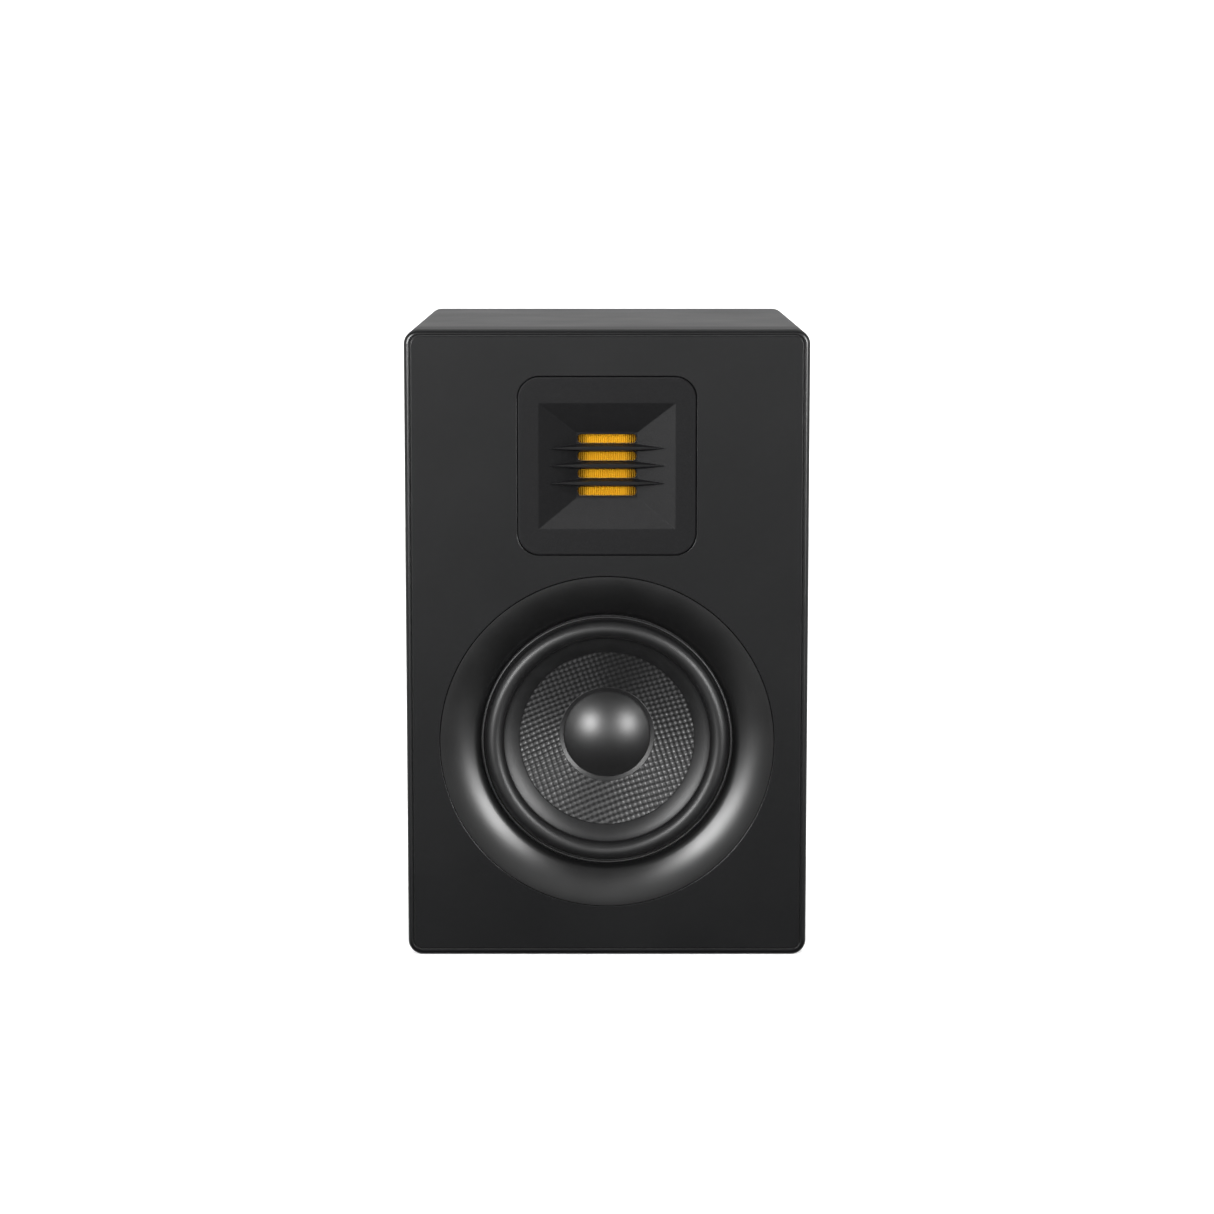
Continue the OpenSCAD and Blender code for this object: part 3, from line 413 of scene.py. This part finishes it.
slot_of = {part["node"]: part["material_slot"] for part in frame["record"]["subparts"]}
for name, node in nodes.items():
    node.data.materials.clear()
    node.data.materials.append(look[slot_of[name]])


# ---- turned pieces of the woofer ----


def arc(centre, radius, start, end, steps):
    """Points of an arc in the (radius, height) plane, angles in degrees."""
    turns = [math.radians(start + (end - start) * i / steps) for i in range(steps + 1)]
    return [(centre[0] + radius * math.cos(t), centre[1] + radius * math.sin(t)) for t in turns]


def mesh_object(name, points, faces, slot, smooth_deg=40):
    mesh = bpy.data.meshes.new(name)
    mesh.from_pydata(points, [], faces)
    mesh.validate()
    mesh.materials.append(look[slot])
    mesh.polygons.foreach_set("use_smooth", [True] * len(mesh.polygons))
    mesh.set_sharp_from_angle(angle=math.radians(smooth_deg))
    obj = bpy.data.objects.new(name, mesh)
    bpy.context.scene.collection.objects.link(obj)
    return obj


def turned(name, outline, slot, segments=256, smooth_deg=40):
    """Solid of revolution about the woofer's axis.

    The outline is (radius, height) in millimetres, and the height runs out of the front.
    """
    loop = [point for i, point in enumerate(outline) if math.dist(point, outline[i - 1]) > 1e-6]
    points, rings = [], []
    for radius, height in loop:
        if radius < 1e-6:
            rings.append([len(points)])
            points.append((0, FRONT_Y - height * MM, WOOFER_Z))
            continue
        ring = []
        for k in range(segments):
            turn = 2 * math.pi * k / segments
            ring.append(len(points))
            points.append((radius * MM * math.cos(turn), FRONT_Y - height * MM,
                           WOOFER_Z + radius * MM * math.sin(turn)))
        rings.append(ring)
    faces = []
    for i, ring in enumerate(rings):
        other = rings[(i + 1) % len(rings)]
        if len(ring) == 1 and len(other) == 1:
            continue
        for k in range(segments):
            n = (k + 1) % segments
            if len(ring) == 1:
                faces.append((ring[0], other[n], other[k]))
            elif len(other) == 1:
                faces.append((ring[k], ring[n], other[0]))
            else:
                faces.append((ring[k], ring[n], other[n], other[k]))
    return mesh_object(name, points, faces, slot, smooth_deg)


def follows_cone(obj):
    """Bakes the piece's transform into its mesh. It gets no share of the cone's motion.
    """
    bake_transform(obj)


CONE_R = 44.6
CONE_H = -6.9
CONE_FALL = 0.6
GLUE = 0.03


def cone_height(radius):
    """Height of the cone's front surface at a radius, in millimetres from the baffle's front."""
    return CONE_H - (CONE_R - radius) * CONE_FALL


def trim_ring():
    """A wide arc from the rim inwards, then a tighter one that turns down into the bore."""
    rim, bend_r, bore, foot = 72.8, 58.5, 55.33, -8
    face_r, lip_face_r = 30, 7.4
    lip_r, lip_height = 0.55, -6.92
    rebate_in, rebate_out, rebate_top = 61.5, 70.5, -5
    bend_deg = math.degrees(math.asin((rim - bend_r) / face_r))
    slope = math.radians(bend_deg)
    lip_centre = (bend_r + lip_face_r * math.sin(slope), (face_r - lip_face_r) * math.cos(slope) - face_r)
    outline = arc((rim, -face_r), face_r, 90, 90 + bend_deg, 28)
    outline += arc(lip_centre, lip_face_r, 91 + bend_deg, 151, 16)
    outline += arc((bore + lip_r, lip_height), lip_r, 120, 180, 5)
    outline += [(bore, foot), (rebate_in, foot), (rebate_in, rebate_top)]
    outline += [(rebate_out, rebate_top), (rebate_out, foot), (rim, foot)]
    ring = turned("trim_ring", outline, "trim_satin", 320, smooth_deg=50)
    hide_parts("woofer_trim_ring")
    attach(ring, "cabinet")


def surround():
    """Half roll with a bead round its outside and a skirt glued on the cone's edge."""
    middle, radius, wall, height = 49.3, 3.9, 0.9, -5.4
    bead_r, bead_middle, bead_height, landing = 0.55, 54.35, -6.1, -6.38
    gutter = (53.5, -6.2)
    skirt_in, skirt_edge, skirt_wall = 38.3, CONE_R - 1.2, 0.5
    inner = middle - radius
    outline = [(bead_middle + bead_r, landing), (bead_middle + bead_r, bead_height)]
    outline += arc((bead_middle, bead_height), bead_r, 0, 180, 8)
    outline += [gutter]
    outline += arc((middle, height), radius, 0, 180, 40)
    outline += [(inner - 0.15, height - 0.9), (inner - 0.5, height - 1.25)]
    outline += [(skirt_edge, cone_height(skirt_edge) + skirt_wall)]
    outline += [(skirt_in + 0.3, cone_height(skirt_in + 0.3) + skirt_wall)]
    outline += [(skirt_in, cone_height(skirt_in) + 0.35), (skirt_in, cone_height(skirt_in) + GLUE)]
    outline += [(CONE_R, cone_height(CONE_R) + GLUE)]
    outline += arc((middle, height), radius - wall, 180, 0, 40)
    outline += [(middle + radius - wall, landing)]
    obj = turned("surround", outline, "surround_rubber", 320, smooth_deg=45)
    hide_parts("woofer_surround")
    follows_cone(obj)


def cone():
    """Straight cone, 0.9 mm thick at its edge and thicker at the collar round the former."""
    neck, edge_wall, collar, neck_wall = 13.05, 0.9, 2.4, 1.4
    outline = [(CONE_R, cone_height(CONE_R))]
    outline += [(r, cone_height(r)) for r in np.linspace(CONE_R - 1, neck, 12)]
    outline += [(neck, cone_height(neck) - collar), (neck + 1, cone_height(neck) - neck_wall)]
    outline += [(CONE_R, cone_height(CONE_R) - edge_wall)]
    obj = turned("cone", outline, "woven_fibre", 256)
    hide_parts("woofer_cone")
    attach(obj, "woofer_cone_assembly")


def dust_cap():
    """Spherical dome with a narrow glued flange."""
    rim, edge_deg, wall = 19.1, 43, 0.5
    dome = rim / math.sin(math.radians(edge_deg))
    rim_height = cone_height(rim) + 0.55
    centre = (0, rim_height - dome * math.cos(math.radians(edge_deg)))
    outline = arc(centre, dome, 90, 90 - edge_deg, 32)
    outline += [(rim + 0.05, cone_height(rim) + 0.25), (rim + 1.8, cone_height(rim + 1.8) + 0.3)]
    outline += [(rim + 2, cone_height(rim + 2) + GLUE), (rim - 0.8, cone_height(rim - 0.8) + GLUE)]
    outline += arc(centre, dome - wall, 90 - edge_deg + 2, 90, 24)
    outline[0] = (0, outline[0][1])
    outline[-1] = (0, outline[-1][1])
    obj = turned("dust_cap", outline, "cap_satin", 192, smooth_deg=50)
    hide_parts("woofer_dust_cap")
    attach(obj, "woofer_cone_assembly")


def spider():
    """Corrugated disc with a flat glued rim."""
    inner, outer, rim, steps = 13.06, 30.8, 33, 120
    height, wave, waves, wall = -33, 1.1, 4, 0.6
    radii = np.linspace(inner, outer, steps + 1)
    turns = 2 * math.pi * waves * (radii - inner) / (outer - inner)
    top = [(r, height + wave * math.sin(turn)) for r, turn in zip(radii, turns)]
    low = [(r, h - wall) for r, h in reversed(top)]
    obj = turned("spider", top + [(rim, height), (rim, height - wall)] + low, "spider_cloth", 160)
    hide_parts("woofer_spider")
    follows_cone(obj)


def tinsel_leads():
    """The braids as in the CAD, copied into a mesh of their own."""
    node = nodes["woofer_tinsel_leads"]
    obj = bpy.data.objects.new("tinsel_leads", node.data.copy())
    obj.matrix_world = node.matrix_world.copy()
    bpy.context.scene.collection.objects.link(obj)
    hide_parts("woofer_tinsel_leads")
    follows_cone(obj)


trim_ring()
surround()
cone()
dust_cap()
spider()
tinsel_leads()

# ---- studio ----

REACH = 7.0
CURVE_START, CURVE_R, WALL_TOP = 1.6, 1.2, 5.0
AIM = Vector((0, 0, 0.12))


def paper_sheet(name, profile, level):
    """White paper that follows a (y, height) profile, and glows a little so that it stays white.

    The speaker's gloss doesn't reflect it. It lies just under its height, clear of the speaker.
    """
    drop = 0.1 * MM
    points, faces = [], []
    for y, z in profile:
        points += [(-REACH, y, z - drop), (REACH, y, z - drop)]
    for i in range(0, 2 * len(profile) - 2, 2):
        faces.append((i, i + 1, i + 3, i + 2))
    mesh = bpy.data.meshes.new(name)
    mesh.from_pydata(points, [], faces)
    g = Graph("studio_" + name)
    fibre = g.noise(30, 2)
    paper = g.blend(fibre, (0.8, 0.8, 0.8), (0.82, 0.82, 0.82))
    mesh.materials.append(g.finish(paper, 0.9, 0, None, 0.1,
                                   Emission_Color=(1, 1, 1, 1), Emission_Strength=level))
    mesh.polygons.foreach_set("use_smooth", [True] * len(mesh.polygons))
    obj = bpy.data.objects.new(name, mesh)
    bpy.context.scene.collection.objects.link(obj)
    obj.visible_glossy = False


def softbox(name, azimuth, elevation, distance, width, height, radiance):
    """Soft light aimed at the speaker. Azimuth 0 is straight in front and positive to the right."""
    data = bpy.data.lights.new(name, "AREA")
    data.shape = "ELLIPSE"
    data.size = width
    data.size_y = height
    area = math.pi / 4 * width * height
    data.energy = radiance * math.pi * area
    obj = bpy.data.objects.new(name, data)
    bpy.context.scene.collection.objects.link(obj)
    a, e = math.radians(azimuth), math.radians(elevation)
    away = Vector((math.sin(a) * math.cos(e), -math.cos(a) * math.cos(e), math.sin(e)))
    obj.location = AIM + away * distance
    obj.rotation_mode = "QUATERNION"
    obj.rotation_quaternion = (-away).to_track_quat("-Z", "Y")
    obj.visible_camera = False
    return obj


paper_sheet("floor", [(-REACH, 0), (CURVE_START, 0)], 0.35)
curve = [(CURVE_START + CURVE_R * math.sin(turn), CURVE_R - CURVE_R * math.cos(turn))
         for turn in np.linspace(0, math.pi / 2, 24)]
paper_sheet("backdrop", curve + [(CURVE_START + CURVE_R, WALL_TOP)], 0.7)
right_light = softbox("right_softbox", azimuth=38, elevation=12.5, distance=1.9,
                      width=0.74, height=0.9, radiance=22)
left_light = softbox("left_softbox", azimuth=-31.5, elevation=13.5, distance=1.9,
                     width=0.78, height=0.88, radiance=25)
tweeter_light = softbox("tweeter_softbox", azimuth=0, elevation=47, distance=1.9,
                        width=1.0, height=0.8, radiance=11.5)
top_light = softbox("top_softbox", azimuth=0, elevation=84, distance=2.2,
                    width=2.4, height=2.0, radiance=2.3)
top_light.visible_glossy = False


def link_light(light, state, *names):
    """Light linking: the light reaches only these nodes (INCLUDE), or everything but them (EXCLUDE)."""
    group = bpy.data.collections.new(light.name + "_receivers")
    light.light_linking.receiver_collection = group
    for i, name in enumerate(names):
        group.objects.link(nodes[name])
        group.collection_objects[i].light_linking.link_state = state


wrapped = [name for name in nodes if slot_of[name] == "cabinet_wrap"]
link_light(right_light, "EXCLUDE", "tweeter_faceplate", *wrapped)
link_light(left_light, "EXCLUDE", *wrapped)
link_light(tweeter_light, "INCLUDE", "tweeter_faceplate")


def room_light():
    """Fill light, by the height of its direction: dark below the horizon and brightest at eye level.

    Each stop is the sine of an elevation and the level there. Behind the speaker it is even and bright.
    """
    stops = ((-0.5, 0.02), (-0.25, 0.12), (-0.03, 0.95), (0.3, 0.6), (0.72, 0.15), (1.0, 0.7))
    rear_level = 1.25
    world = bpy.data.worlds.new("studio")
    bpy.context.scene.world = world
    world.use_nodes = True
    tree = world.node_tree
    direction = tree.nodes.new("ShaderNodeTexCoord").outputs["Generated"]
    split = tree.nodes.new("ShaderNodeSeparateXYZ")
    tree.links.new(direction, split.inputs[0])
    ramp = tree.nodes.new("ShaderNodeValToRGB")
    shift = tree.nodes.new("ShaderNodeMath")
    shift.operation = "MULTIPLY_ADD"
    tree.links.new(split.outputs[2], shift.inputs[0])
    shift.inputs[1].default_value = 0.5
    shift.inputs[2].default_value = 0.5
    tree.links.new(shift.outputs[0], ramp.inputs[0])
    ramp.color_ramp.interpolation = "EASE"
    while len(ramp.color_ramp.elements) < len(stops):
        ramp.color_ramp.elements.new(0.5)
    for element, (height, level) in zip(ramp.color_ramp.elements, stops):
        element.position = 0.5 + 0.5 * height
        element.color = (level, level, level, 1)
    behind = tree.nodes.new("ShaderNodeMapRange")
    behind.interpolation_type = "SMOOTHSTEP"
    tree.links.new(split.outputs[1], behind.inputs["Value"])
    behind.inputs["From Min"].default_value = 0.0
    behind.inputs["From Max"].default_value = 0.4
    mix = tree.nodes.new("ShaderNodeMix")
    mix.data_type = "RGBA"
    tree.links.new(behind.outputs[0], mix.inputs["Factor"])
    tree.links.new(ramp.outputs[0], mix.inputs["A"])
    mix.inputs["B"].default_value = (rear_level, rear_level, rear_level, 1)
    tree.links.new(mix.outputs["Result"], tree.nodes["Background"].inputs["Color"])


room_light()
